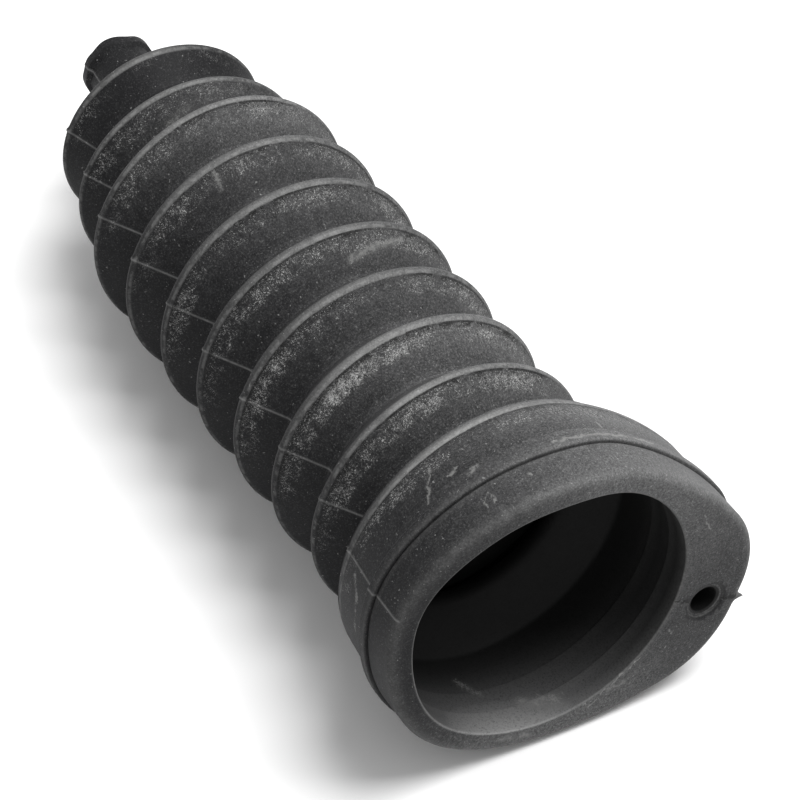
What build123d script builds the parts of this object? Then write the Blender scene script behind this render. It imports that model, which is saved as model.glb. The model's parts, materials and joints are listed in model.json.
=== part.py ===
from build123d import *
from math import acos, atan2, cos, degrees, hypot, radians, sin, sqrt, tan
import os

# A one-piece moulded rubber bellows boot. It lies on its side as it comes to rest: the flat lower
# side of the flange's lip and the third crest from the small end are on the ground, with +Z up.
# The wide mouth opens towards -X, the small spout points towards +X, and the ear reaches towards -Y.
# Stations are distances in millimetres from the mouth's front face, along the boot's own axis.

# Mouth flange and its ear
mouth_radius = 24.7
mouth_land = 5.2
mouth_edge_round = 0.7
flange_thickness = 7.6
flange_wall = 4.1
flange_edge_round = 1.3
ear_extent = 9.95
ear_corner_radius = 20.0
ear_corner_offset = 2.25
ear_hole_radius = 2.5
ear_hole_tip_distance = 7.15
ear_hole_rim_width = 0.9
ear_hole_rim_depth = 0.5

# Raised lip behind the flange, and the shoulder, whose round side slopes more than its ear
lip_rise = 0.8
lip_width = 2.2
lip_round = 0.4
shoulder_drop = 0.3
shoulder_slope = 1.1
shoulder_length = 9.6
shoulder_round = 1.2
shoulder_crest_past = 1.1
shoulder_crest_drop = 1.5

# Steps inside the mouth, and the cone that carries the bellows inside the flange
seat_step = 0.4
seat_length = 5.6
chamber_step = 0.3
chamber_length = 9.0
carrier_drop = 2.2

# Convolutions: seven alike, then two smaller ones on the small end
crest_count = 7
crest_pitch = 13.68
first_crest_station = 32.85
crest_radius = 25.4
valley_radius = 19.3
small_crest_a_station = 127.4
small_crest_a_radius = 22.1
small_crest_b_station = 140.9
small_crest_b_radius = 19.9
small_valley_radius = 16.4
neck_valley_radius = 18.2
neck_valley_land = 3.4
neck_bend_length = 1.8
crest_round = 0.9
valley_round = 1.2
wall_along_radius = 2.5
inner_crest_round = 0.5
inner_valley_round = 2.2

# Small end: it has taken a slight set, up and to one side
bend_up = 3.3
bend_to_ear = 3.1
cone_end_station = 147.4
cone_end_radius = 12.0
cone_end_round = 2.0
cap_inner_radius = 11.6
cap_inner_round = 1.5
spout_start_station = 149.0
spout_radius = 6.3
spout_bore_radius = 5.0
spout_root_round = 1.0
bead_station = 160.3
bead_radius = 7.1
bead_length = 2.9
bead_round = 0.6
bead_foot_round = 0.3
cap_wall = 1.8

# Flash left by the mould on the ear's tip
nib_length = 1.3
nib_width = 1.6
nib_thickness = 0.9

# Joined solids run this far into each other, and cuts this far past a face
overlap = 0.5

# Derived sizes
flange_radius = mouth_radius + flange_wall
ear_reach = flange_radius + ear_extent
ear_hole_distance = ear_reach - ear_hole_tip_distance
ear_hole_rim_radius = ear_hole_radius + ear_hole_rim_width
seat_radius = mouth_radius + seat_step
seat_end = mouth_land + seat_length
chamber_radius = seat_radius + chamber_step
chamber_end = seat_end + chamber_length
carrier_radius = flange_radius - carrier_drop
corner_x = ear_reach - ear_corner_radius
corner_distance = hypot(corner_x, ear_corner_offset)
lip_end = flange_thickness + lip_width
shoulder_end = lip_end + shoulder_length
shoulder_crest_station = shoulder_end + shoulder_crest_past
shoulder_crest_radius = flange_radius - shoulder_crest_drop
rest_crest_station = first_crest_station + (crest_count - 1) * crest_pitch
lie = atan2(flange_radius + lip_rise - crest_radius, rest_crest_station - lip_end)
tip_gain = crest_round * (sqrt(2) - 1)
root_gain = valley_round * (sqrt(2) - 1)
land_middle = (mouth_edge_round + mouth_land) / 2
joint_station = (rest_crest_station + small_crest_a_station) / 2
spout_end = bead_station + bead_length


def side_normal(circle_radius, corner_radius):
    """Angle from the ear to the normal of the straight side that joins the circle and the corner."""
    return atan2(ear_corner_offset, corner_x) + acos((circle_radius - corner_radius) / corner_distance)


# The boot's own directions: along its axis, across to the ear, and the third one, mostly down
roll = radians(90) - side_normal(flange_radius, ear_corner_radius)
along = Vector(cos(lie), 0, -sin(lie))
rise = Vector(sin(lie), 0, cos(lie))
ear_way = Vector(0, -cos(roll), 0) - rise * sin(roll)
third = along.cross(ear_way)
start = along * -land_middle
front = Plane(origin=start, x_dir=ear_way, z_dir=along)
section = Plane(origin=start, x_dir=along, z_dir=third)
boot_axis = Axis(start, along)

# The small end's directions, bent from a joint in the valley behind the third crest
joint = start + along * joint_station
end_along = (along + rise * sin(radians(bend_up)) + Vector(0, -sin(radians(bend_to_ear)), 0)).normalized()
end_third = end_along.cross(ear_way).normalized()
end_section = Plane(origin=joint, x_dir=end_along, z_dir=end_third)
end_axis = Axis(joint, end_along)

# The neck bends on a short arc, in the plane of the two axes
half_bend = neck_bend_length / 2
bend = acos(along.dot(end_along))
bend_way = (end_along - along * along.dot(end_along)).normalized()
neck_start = joint - along * half_bend
bend_centre = neck_start + bend_way * (half_bend / tan(bend / 2))


def eared_outline(grow, slope=0):
    """Round outline with two straight sides that run to a blunt ear, grown outwards by grow. The round
    side lies nearer to the axis by slope."""
    r = flange_radius + grow - slope
    c = ear_corner_radius + grow
    side = side_normal(r, c)
    u, v = cos(side), sin(side)
    with BuildLine() as outline:
        ThreePointArc((r * u, -r * v), (-r, 0), (r * u, r * v))
        Line((r * u, r * v), (corner_x + c * u, ear_corner_offset + c * v))
        RadiusArc(
            (corner_x + c * u, ear_corner_offset + c * v),
            (corner_x + c, ear_corner_offset),
            c,
        )
        Line((corner_x + c, ear_corner_offset), (corner_x + c, -ear_corner_offset))
        RadiusArc(
            (corner_x + c, -ear_corner_offset),
            (corner_x + c * u, -ear_corner_offset - c * v),
            c,
        )
        Line((corner_x + c * u, -ear_corner_offset - c * v), (r * u, -r * v))
    make_face(outline.edges())


# Crests and valleys as sharp corners, before rounding
main_corners = [(shoulder_crest_station, shoulder_crest_radius + tip_gain)]
main_rounds = [crest_round]
for i in range(crest_count):
    crest_station = first_crest_station + i * crest_pitch
    before = crest_station - crest_pitch / 2
    if i == 0:
        before = (shoulder_crest_station + crest_station) / 2
    main_corners.append((before, valley_radius - root_gain))
    main_rounds.append(valley_round)
    main_corners.append((crest_station, crest_radius + tip_gain))
    main_rounds.append(crest_round)

end_corners = [
    (small_crest_a_station - joint_station, small_crest_a_radius + tip_gain),
    (
        (small_crest_a_station + small_crest_b_station) / 2 - joint_station,
        small_valley_radius - root_gain,
    ),
    (small_crest_b_station - joint_station, small_crest_b_radius + tip_gain),
]
end_rounds = [crest_round, valley_round, crest_round]


def inner_rounds(rounds):
    """Rounds of the inner wall, for the outer wall's list."""
    return [inner_crest_round if r == crest_round else inner_valley_round for r in rounds]


def shrunk(corners):
    """The inner wall's corners, for the outer wall's list."""
    return [(x, r - wall_along_radius) for x, r in corners]


half_land = neck_valley_land / 2
neck_inner_radius = neck_valley_radius - wall_along_radius

# Bellows from the shoulder to the neck
with BuildPart() as bellows:
    with BuildSketch(section):
        with BuildLine():
            outer = FilletPolyline(
                [
                    (flange_thickness, carrier_radius),
                    *main_corners,
                    (joint_station - half_land, neck_valley_radius),
                    (joint_station - half_bend, neck_valley_radius),
                ],
                radius=[*main_rounds, valley_round],
            )
            Polyline(outer @ 1, (joint_station - half_bend, 0), (flange_thickness, 0), outer @ 0)
        make_face()
    revolve(axis=boot_axis)
    with BuildSketch(section):
        with BuildLine():
            inner = FilletPolyline(
                [
                    (chamber_end, chamber_radius),
                    *shrunk(main_corners[1:]),
                    (joint_station - half_land, neck_inner_radius),
                    (joint_station, neck_inner_radius),
                ],
                radius=[*inner_rounds(main_rounds[1:]), valley_round],
            )
            Polyline(
                inner @ 1,
                (joint_station, 0),
                (-overlap, 0),
                (-overlap, mouth_radius),
                (mouth_land, mouth_radius),
                (mouth_land, seat_radius),
                (seat_end, seat_radius),
                (seat_end, chamber_radius),
                inner @ 0,
            )
        make_face()
    revolve(axis=boot_axis, mode=Mode.SUBTRACT)

# Neck: the bottom of the valley behind the third crest, bent through the small end's angle
with BuildPart() as neck:
    with BuildSketch(Plane(origin=neck_start, z_dir=along)):
        Circle(neck_valley_radius)
        Circle(neck_inner_radius, mode=Mode.SUBTRACT)
    revolve(axis=Axis(bend_centre, along.cross(bend_way)), revolution_arc=degrees(bend))

# Small end from the neck to the spout, as one turned wall
with BuildPart() as small_end:
    with BuildSketch(end_section):
        with BuildLine():
            wall_out = FilletPolyline(
                [
                    (half_bend, neck_valley_radius),
                    (half_land, neck_valley_radius),
                    *end_corners,
                    (cone_end_station - joint_station, cone_end_radius),
                    (spout_start_station - joint_station, spout_radius),
                    (bead_station - joint_station, spout_radius),
                    (bead_station + bead_radius - spout_radius - joint_station, bead_radius),
                    (spout_end - joint_station, bead_radius),
                    (spout_end - joint_station, spout_bore_radius),
                ],
                radius=[
                    valley_round,
                    *end_rounds,
                    cone_end_round,
                    spout_root_round,
                    bead_foot_round,
                    bead_foot_round,
                    bead_round,
                ],
            )
            wall_in = FilletPolyline(
                [
                    (half_bend, neck_inner_radius),
                    (half_land, neck_inner_radius),
                    *shrunk(end_corners),
                    (cone_end_station - cap_wall - joint_station, cap_inner_radius),
                    (spout_start_station - cap_wall - joint_station, spout_bore_radius),
                    (spout_end - joint_station, spout_bore_radius),
                ],
                radius=[valley_round, *inner_rounds(end_rounds), cap_inner_round, spout_root_round],
            )
            Line(wall_out @ 0, wall_in @ 0)
        make_face()
    revolve(axis=end_axis)

# Flange with its ear, the lip behind it and the shoulder, hollowed for the mouth
with BuildPart() as flange:
    with BuildSketch(front):
        eared_outline(0)
    extrude(amount=flange_thickness)
    fillet(flange.faces().sort_by(boot_axis)[0].edges(), flange_edge_round)
    with BuildSketch(front.offset(flange_thickness)):
        eared_outline(lip_rise)
    extrude(amount=lip_width)
    fillet(flange.faces().sort_by(boot_axis)[-1].edges(), lip_round)
    with BuildSketch(front.offset(lip_end)):
        eared_outline(-shoulder_drop)
    with BuildSketch(front.offset(shoulder_end)):
        eared_outline(-shoulder_drop, shoulder_slope)
    loft(ruled=True)
    fillet(flange.faces().sort_by(boot_axis)[-1].edges(), shoulder_round)
    with BuildSketch(section):
        with BuildLine():
            Polyline(
                (-overlap, 0),
                (-overlap, mouth_radius),
                (mouth_land, mouth_radius),
                (mouth_land, seat_radius),
                (seat_end, seat_radius),
                (seat_end, chamber_radius),
                (chamber_end, chamber_radius),
                (chamber_end, 0),
                close=True,
            )
        make_face()
    revolve(axis=boot_axis, mode=Mode.SUBTRACT)

with BuildPart() as bellows_boot:
    add(flange.part)
    add(bellows.part)
    add(neck.part)
    add(small_end.part)
    with BuildSketch(front.offset(flange_edge_round)):
        with BuildLine():
            Polyline(
                (ear_reach - overlap, -nib_width / 2),
                (ear_reach + nib_length, 0),
                (ear_reach - overlap, nib_width / 2),
                close=True,
            )
        make_face()
    extrude(amount=-nib_thickness)
    with BuildSketch(front):
        with Locations((ear_hole_distance, 0)):
            Circle(ear_hole_radius)
    extrude(amount=shoulder_end + overlap, mode=Mode.SUBTRACT)
    with BuildSketch(front):
        with Locations((ear_hole_distance, 0)):
            Circle(ear_hole_rim_radius)
    extrude(amount=ear_hole_rim_depth, mode=Mode.SUBTRACT)
    front_edges = bellows_boot.faces().sort_by(boot_axis)[0].edges().filter_by(GeomType.CIRCLE)
    mouth_edge = front_edges.filter_by(lambda e: e.is_closed).sort_by(SortBy.RADIUS)[-1]
    fillet(mouth_edge, mouth_edge_round)

os.makedirs("parts", exist_ok=True)
bellows_boot.part.label = "bellows_boot"
export_step(bellows_boot.part, "parts/bellows_boot.step")
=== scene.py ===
import json
from math import acos, atan2, ceil, cos, hypot, pi, radians, sin, tan

import bpy
import numpy as np
from bpy.props import FloatProperty, FloatVectorProperty, IntProperty, PointerProperty
from bpy.types import Operator, Panel, PropertyGroup
from mathutils import Matrix, Vector


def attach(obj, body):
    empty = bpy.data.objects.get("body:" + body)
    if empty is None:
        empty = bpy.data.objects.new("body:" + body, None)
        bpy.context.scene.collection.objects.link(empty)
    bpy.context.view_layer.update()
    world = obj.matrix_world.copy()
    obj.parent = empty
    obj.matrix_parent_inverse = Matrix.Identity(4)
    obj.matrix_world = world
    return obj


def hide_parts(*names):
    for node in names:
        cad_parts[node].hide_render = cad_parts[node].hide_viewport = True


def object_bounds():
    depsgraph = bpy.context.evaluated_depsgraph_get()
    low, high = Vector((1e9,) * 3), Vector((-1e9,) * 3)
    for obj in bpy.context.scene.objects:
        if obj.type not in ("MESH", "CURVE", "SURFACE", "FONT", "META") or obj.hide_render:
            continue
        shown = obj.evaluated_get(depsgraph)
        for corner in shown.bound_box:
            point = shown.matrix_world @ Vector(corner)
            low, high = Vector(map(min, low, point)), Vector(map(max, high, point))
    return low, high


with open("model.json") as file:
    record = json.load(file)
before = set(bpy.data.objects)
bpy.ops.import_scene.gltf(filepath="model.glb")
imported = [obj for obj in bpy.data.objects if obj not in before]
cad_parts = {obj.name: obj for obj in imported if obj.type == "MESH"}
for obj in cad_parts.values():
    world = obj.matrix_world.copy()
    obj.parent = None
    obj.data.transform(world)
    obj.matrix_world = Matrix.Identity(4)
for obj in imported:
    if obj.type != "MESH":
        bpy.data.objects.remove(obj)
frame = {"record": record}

bl_info = {
    "name": "Rubber bellows boot",
    "version": (1, 0, 0),
    "blender": (4, 5, 0),
    "location": "3D View > Sidebar > Boot",
    "description": "Builds the moulded rubber skin of a bellows boot round its packed frame",
    "category": "Object",
}

# The imported model's box, which gives the floor's height and the middle that the key light faces
CAD_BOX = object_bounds()
MM = 0.001

# How many columns go round the skin, and how far from the mould's parting line the extra ones stand, in
# degrees
COLUMNS = 192
PARTING_OFFSETS = (0.25, 0.55, 0.95)

# Rings over the mouth's face and the shoulder's back, and the steps between the others
FACE_RINGS = 9
BACK_RINGS = 4
RIM_STEP = 0.6 * MM
SHOULDER_STEP = 0.8 * MM
FOLD_STEP = 1.05 * MM
INNER_STEP = 2.8 * MM

# Stands for a crest's distance where there is no fold, in millimetres
FAR = 30.0

# The soft mouth's set: direction in degrees, shift back along the axis in millimetres, width in degrees
MOUTH_SETS = ((178, 1.9, 26), (98, 0.8, 36), (-107, -1.2, 24), (-163, 0.4, 20))

# Bloom, and the share of dust and painted light, on each crest, from the shoulder's crest to the last one
# before the spout
CREST_BLOOM = (0.6, 0.75, 1.2, 0.8, 0.75, 0.85, 0.6, 0.5, 0.4, 0.25)
CREST_DUST_AND_LIGHT = (1.0, 0.8, 1.05, 0.66, 0.6, 0.64, 0.6, 0.95, 0.6, 0.0)

# Directions in degrees that face the dust and the bloom, and how fast the dust fades away from its own side
# on the folds, and faster still on the flange and the shoulder. The dust's side is the lit top and right,
# so its greying is partly dust and partly painted light.
DUST_AND_LIGHT_SIDE = -72
BLOOM_SIDE = -104
DUST_AND_LIGHT_FALL = 2.3
FLANGE_DUST_AND_LIGHT_FALL = 1.6

# Dust, painted light and polishing that face one direction: direction and width in degrees, then strength.
# The face's is dust on its low side, the land's is a painted pool of light on the low side inside the
# mouth, and the crests' is partly polishing and partly a painted highlight.
FACE_DUST = (66, 44, 1.15)
LAND_PAINTED_LIGHT = (86, 40, 1.45)
POLISH_AND_HIGHLIGHT_SIDE = (-126, 32, 0.94)

# Bands beside a crest, in millimetres from it towards the mouth: where each rises from and to, and where
# it falls from and to
# The light band and the thin line along the crests are partly polishing and partly painted highlight
POLISH_AND_HIGHLIGHT_BAND = (-1.5, 0.9, 0.85, 1.15)
THIN_HIGHLIGHT_BAND = (0.1, 0.45, 0.6, 0.95)
DARK_LINE = (0.85, 1.05, 1.2, 1.45)
PIT_BAND = (0.9, 1.2, 1.3, 2.6)
BLOOM_BAND = (0.8, 1.2, 1.4, 7.5)
# Where the painted shade towards each valley rises, in millimetres in front of the crest
VALLEY_SHADE = (2.5, 8.0)

# Painted shade: the dark ring round the ear's hole, at the recess's edge, in millimetres from its axis, and
# where the painted shade in the hole itself ends
HOLE_RING_SHADE = (3.25, 3.4, 3.5, 3.75)
HOLE_SHADE = (3.1, 2.85)

# The soft edge of the recess round that hole: depth behind the face and growth of its radius, in
# millimetres, and how many columns go round it
RECESS_EDGE = ((-1.0, 0.6), (-0.02, 0.3), (0.1, 0.08), (0.3, 0.0))
HOLE_COLUMNS = 48

# Scuffs and scratches, each from one point to the next: station and radius in millimetres, with the
# direction in degrees between them, then the width in millimetres and how faint it is
SCUFFS = {
    "scratch over the front face": [((0, 52, 26.5), (0, 45, 25.4), (0, 25, 25.3)), 0.16, 0.1],
    "patch beside that scratch": [((0, 42, 25.6), (0, 37, 26.9)), 0.8, 0.6],
    "scuff low on the front face": [((0.1, 88, 26.3), (0.1, 76, 26.7)), 0.7, 0.25],
    "smear on the land": [((6.2, 71, 25.0), (3.2, 60, 24.7)), 2.2, 0.8],
    "smear in the seat": [((14.2, 89, 25.4), (10.5, 85, 25.1)), 1.3, 0.8],
    "streak along the lip": [
        ((8.2, -104, 29.5), (8.4, -87, 29.6), (8.6, -74, 29.7), (8.8, -62, 29.9)),
        0.4,
        0.3,
    ],
    "streak low on the shoulder": [((13.5, 157, 28.1), (13.8, 170, 28.1), (16.2, 176, 27.8)), 0.5, 0.45],
    "rub behind the lip": [((10.7, -131, 28.4), (11.4, -128, 28.4)), 0.5, 0.4],
    "long mark on the ear": [((0, -40, 28.8), (0, -32, 29.3)), 0.22, 0.2],
    "mark below the ear's hole": [((0, 11.6, 26.9), (0, 12.7, 28)), 0.22, 0.3],
    "smudge behind the small fold": [((122.9, -129, 18.9), (123.7, -115, 20.1)), 1.1, 0.6],
    "patch on the third fold": [((100, -130, 24.4), (98, -131.5, 22.4)), 0.75, 0.6],
    "tick on the third fold": [((99.8, -118.4, 24.2), (99.1, -119.1, 23.5)), 0.2, 0.1],
    "band on the fifth fold": [((69.7, -105, 21.5), (70.8, -91, 22.8), (71.9, -78, 23.8)), 0.9, 0.5],
    "dotted line on the shoulder": [((11.3, -147.3, 28.4), (16.4, -139.7, 27.9)), 0.3, 0.3],
    "short scratch on the shoulder": [((13, -136.6, 28.2), (13.3, -133.1, 28.2)), 0.25, 0.15],
    "swirl on the rim": [
        (
            (2.9, -134.5, 28.8),
            (4.6, -133.4, 28.8),
            (5.2, -131, 28.8),
            (3.9, -130, 28.8),
            (2.9, -131.5, 28.8),
        ),
        0.22,
        0.5,
    ],
    "speck on the rim": [((4.4, -117.5, 28.8), (4.1, -117.2, 28.8)), 0.35, 0.1],
    "speck on the shoulder": [((13.6, -78.7, 28.1), (12, -79.3, 28.3)), 0.3, 0.2],
}

# Dark smears on the ear, beside its hole
SMEARS = {
    "smear towards the mouth": [((0, -1.2, 25.1), (0, -0.6, 28.6)), 0.42, 0.0],
    "smear towards the tip": [((0, -0.3, 34.0), (0, -0.8, 37.9)), 0.42, 0.0],
}

# The camera's sensor in millimetres, and the nearest and farthest that it sees in metres
SENSOR_WIDTH = 36.0
CLIP = (0.01, 20.0)

# Seeds of the irregular fields
PARTING_SEED = 11
BLOOM_SEED = 23
SPOUT_SEED = 5
SKIN_SEED = 41
POLISH_SEED = 67


def length(name, description, mm):
    """A length property: its default is given in millimetres."""
    return FloatProperty(name=name, description=description, default=mm * MM, min=0.0, unit="LENGTH")


def angle(name, description, degrees):
    """An angle property: its default is given in degrees."""
    return FloatProperty(name=name, description=description, default=radians(degrees), subtype="ANGLE")


def share(name, description, value):
    """A strength property, from nought to one."""
    return FloatProperty(
        name=name, description=description, default=value, min=0.0, max=1.0, subtype="FACTOR"
    )


def colour(name, description, value):
    """A plain colour property."""
    return FloatVectorProperty(
        name=name, description=description, default=value, size=3, min=0.0, max=1.0, subtype="COLOR"
    )


class MouthSizes(PropertyGroup):
    """Sizes of the mouth, its flange and ear, the lip and the shoulder."""

    mouth_radius: length("Mouth radius", "Radius of the first land inside the mouth", 24.7)
    mouth_land: length("Mouth land", "Station where the first land ends", 5.2)
    edge_round: length("Mouth edge", "Rounding of the packed model's front edge", 0.7)
    edge_seen: length("Mouth edge seen", "Rounding of the skin's crisper front edge", 0.35)
    seat_radius: length("Seat radius", "Radius behind the first land", 25.1)
    seat_end: length("Seat end", "Station where the seat ends", 10.8)
    chamber_radius: length("Chamber radius", "Radius of the chamber behind the seat", 25.4)
    chamber_end: length("Chamber end", "Station where the chamber's straight wall ends", 19.8)
    flange_thickness: length("Flange thickness", "Length of the flange's rim", 7.6)
    flange_radius: length("Flange radius", "Radius of the flange away from the ear", 28.8)
    flange_round: length("Flange edge", "Rounding of the flange's front edge", 1.3)
    ear_reach: length("Ear reach", "Distance from the axis to the ear's blunt tip", 38.75)
    ear_corner: length("Ear corner", "Radius of the ear's two round corners", 18.3)
    ear_corner_offset: length("Ear corner offset", "Each corner's centre off the ear's middle", 2.25)
    ear_side: length("Ear side", "Radius of the soft curve between the round side and the ear", 70.0)
    hole_radius: length("Ear hole", "Radius of the hole through the ear", 2.5)
    hole_rim_radius: length("Hole rim", "Radius of the shallow recess round the hole", 3.4)
    hole_rim_depth: length("Hole rim depth", "Depth of the recess round the hole", 0.5)
    lip_rise: length("Lip rise", "Height of the lip over the flange", 0.6)
    lip_width: length("Lip width", "Length of the lip", 2.2)
    lip_round: length("Lip round", "Rounding of the lip's back edge", 0.4)
    lip_front_round: length("Lip front round", "Rounding of the lip's front edge and the crease's", 0.3)
    groove_depth: length("Groove depth", "Depth of the crease in front of the lip", 0.14)
    groove_width: length("Groove width", "Width of the crease in front of the lip", 0.22)
    groove_round: length("Groove round", "Rounding at the bottom of the crease", 0.1)
    land_round: length("Land round", "Rounding of the steps inside the mouth", 0.12)
    shoulder_drop: length("Shoulder drop", "Step from the flange's outline to the shoulder's", 0.3)
    shoulder_slope: length("Shoulder slope", "How far the shoulder's round side slopes inwards", 0.9)
    shoulder_length: length("Shoulder length", "Length of the shoulder on its ear", 9.6)
    shoulder_past: length("Shoulder back", "From the shoulder's crest to its back edge", 0.35)
    shoulder_round: length("Shoulder round", "Rounding of the shoulder's back edge", 1.2)
    nib_length: length("Nib length", "How far the flash stands out of the ear's tip", 1.8)
    nib_width: length("Nib width", "Width of the flash on the ear's tip", 1.6)
    nib_thickness: length("Nib thickness", "Thickness of the flash on the ear's tip", 0.9)
    parting_height: length("Parting line", "Height of the mould's parting line", 0.13)
    parting_width: length("Parting width", "Half width of the parting line", 0.22)
    face_parting: length("Parting on the face", "Height of the parting line on the front face", 0.05)


class FoldSizes(PropertyGroup):
    """Sizes of the convolutions, the small end and the spout."""

    shoulder_crest_station: length("Shoulder crest", "Station of the shoulder's crest", 20.5)
    shoulder_crest_radius: length("Shoulder crest radius", "Radius of the shoulder's crest", 27.3)
    crest_count: IntProperty(name="Crests", description="Number of alike convolutions", default=7, min=1)
    crest_pitch: length("Crest pitch", "Distance from crest to crest", 13.68)
    first_crest: length("First crest", "Station of the first alike crest", 32.85)
    crest_radius: length("Crest radius", "Radius of the alike crests", 25.4)
    valley_radius: length("Valley radius", "Radius of the valleys", 19.3)
    small_a_station: length("Small crest A", "Station of the first smaller crest", 127.4)
    small_a_radius: length("Small crest A radius", "Radius of the first smaller crest", 22.1)
    small_b_station: length("Small crest B", "Station of the last crest", 140.9)
    small_b_radius: length("Small crest B radius", "Radius of the last crest", 19.9)
    small_valley: length("Small valley", "Radius of the valley between the smaller crests", 16.4)
    neck_radius: length("Neck radius", "Radius of the valley in front of the smaller crests", 18.2)
    neck_land: length("Neck land", "Length of that valley's flat bottom", 3.4)
    neck_bend: length("Neck bend", "Length over which the neck bends", 1.8)
    crest_round: length("Crest round", "Rounding of the crests", 0.9)
    valley_round: length("Valley round", "Rounding of the valleys", 1.2)
    wall: length("Wall", "Wall of the folds, measured across the axis", 2.5)
    inner_crest_round: length("Inner crest round", "Rounding inside the crests", 0.5)
    inner_valley_round: length("Inner valley round", "Rounding inside the valleys", 2.2)
    cone_end: length("Cone end", "Station where the last flank ends", 147.4)
    cone_radius: length("Cone radius", "Radius where the last flank ends", 12.0)
    spout_start: length("Spout start", "Station where the spout starts", 149.0)
    spout_radius: length("Spout radius", "Radius of the spout", 6.3)
    spout_bore: length("Spout bore", "Radius of the spout's bore", 5.0)
    bead_station: length("Bead station", "Station where the bead on the spout starts", 160.3)
    bead_radius: length("Bead radius", "Radius of the bead", 7.1)
    bead_length: length("Bead length", "Length of the bead", 2.9)
    bead_round: length("Bead round", "Rounding of the bead's end", 0.6)
    cone_round: length("Cone round", "Rounding where the last flank ends", 2.0)
    root_round: length("Root round", "Rounding at the spout's root", 1.0)
    foot_round: length("Bead foot", "Rounding at the bead's foot", 0.3)
    chamber_round: length("Chamber round", "Rounding where the chamber meets the folds", 1.0)
    cap_round: length("Cap round", "Rounding inside the last fold's end", 1.5)
    cap_wall: length("Cap wall", "Wall of the small end round the spout", 1.8)
    cap_inner: length("Cap inner radius", "Inner radius at the end of the last fold", 11.6)
    tag_low: length("Lowest tag", "Height of the smallest tag of flash on a crest", 0.1)
    tag_high: length("Highest tag", "Height of the largest tag of flash on a crest", 0.38)
    tag_width: length("Tag width", "Half width of a tag of flash", 0.45)
    uneven: length("Unevenness", "How far the soft folds depart from round", 0.09)
    torn: length("Torn end", "How far the spout's end is uneven", 0.4)


class SkinLook(PropertyGroup):
    """Colours and strengths of the rubber's finish."""

    rubber: colour("Rubber", "Clean rubber", (0.011, 0.011, 0.012))
    rubber_inside: colour("Inner rubber", "Rubber deep inside", (0.013, 0.013, 0.013))
    # Greyed rubber, for dust and handling and for painted light on the lit side
    rubber_worn_and_lit: colour("Worn rubber", "Rubber where it is greyed by handling", (0.096, 0.096, 0.097))
    bloom: colour("Bloom", "Chalky bloom below the crests", (0.42, 0.42, 0.415))
    scuff: colour("Scuff", "Pale scuffs and scratches", (0.40, 0.40, 0.39))
    pit: colour("Pits", "Dark pits in the bloom", (0.008, 0.008, 0.008))
    sheen: share("Gloss", "Strength of the rubber's reflections", 0.09)
    # Pale edges: partly wear and partly painted highlight
    edge_wear_and_highlight_cover: share("Edge wear", "Strength of the wear on edges", 0.24)
    haze_cover: share("Haze", "Strength of the even haze under the bloom", 0.14)
    # Partly polishing and partly painted highlight along the crests
    polish_and_highlight_cover: share("Polish", "Strength of the light band along the crests", 0.75)
    speck_cover: share("Specks", "Strength of the single specks of dust", 0.4)
    bloom_cover: share("Bloom grains", "Strength of the bloom's grains", 0.95)
    gap_cover: share("Bloom gaps", "Strength of the dark gaps in the bloom", 0.7)
    scuff_cover: share("Scuffs", "Strength of the scuffs", 0.36)
    pit_cover: share("Pit strength", "Strength of the pits beside the crests", 0.9)
    smear_cover: share("Smears", "Strength of the dark smears on the ear", 0.8)
    # Painted shade in the crease in front of the lip
    crease_shade_cover: share("Crease", "Darkness of the crease in front of the lip", 0.6)
    # Painted shade in the ear's hole
    hole_shade_cover: share("Hole", "Darkness of the ear's hole", 0.9)
    grain: length("Grain", "Size of the rubber's grain", 0.36)
    mottle: length("Mottle", "Size of the mottled patches", 1.6)
    cloud: length("Clouds", "Size of the cloudy patches", 9.0)
    speck: length("Speck spacing", "Size of the pattern that strews the specks", 0.5)
    shake: length("Shake", "Size of the pattern that roughens the scuffs", 1.3)
    shake_reach: length("Shake reach", "How far that pattern shifts a scuff", 1.6)
    grain_depth: length("Grain depth", "Height of the grain's relief", 0.03)
    pit_depth: length("Pit depth", "Depth of the pits beside the crests", 0.12)


class StageLook(PropertyGroup):
    """The camera and the lights."""

    lens: FloatProperty(name="Lens", description="Focal length of the camera", default=133.3, unit="CAMERA")
    distance: length("Distance", "From the camera to the boot's middle", 498.3)
    azimuth: angle("Azimuth", "Direction of the view, turned from +Y about +Z", -121.16)
    elevation: angle("Elevation", "How far the camera looks down", 44.09)
    roll: angle("Roll", "Tilt of the picture", 2.35)
    aim_station: length("Aim station", "Station of the boot's axis near the view's middle", 54.28)
    aim_aside: FloatProperty(
        name="Aim aside", description="Shift of the aim towards -Y", default=2.96 * MM, unit="LENGTH"
    )
    aim_up: FloatProperty(
        name="Aim up", description="Shift of the aim upwards", default=1.64 * MM, unit="LENGTH"
    )
    key: FloatProperty(name="Key light", description="Power of the light above", default=22.5, min=0.0)
    key_place: FloatVectorProperty(
        name="Key place", description="From the boot's middle", default=(-0.19, -0.42, 1.31)
    )
    key_size: length("Key size", "Width and height of the overhead light", 850)
    fill: FloatProperty(name="Fill light", description="Strength of the world", default=0.52, min=0.0)
    floor_size: length("Floor size", "Half the floor's width", 3000)
    floor_shade: share("Floor shade", "How pale the floor is to the light that it passes on", 0.72)


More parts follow.
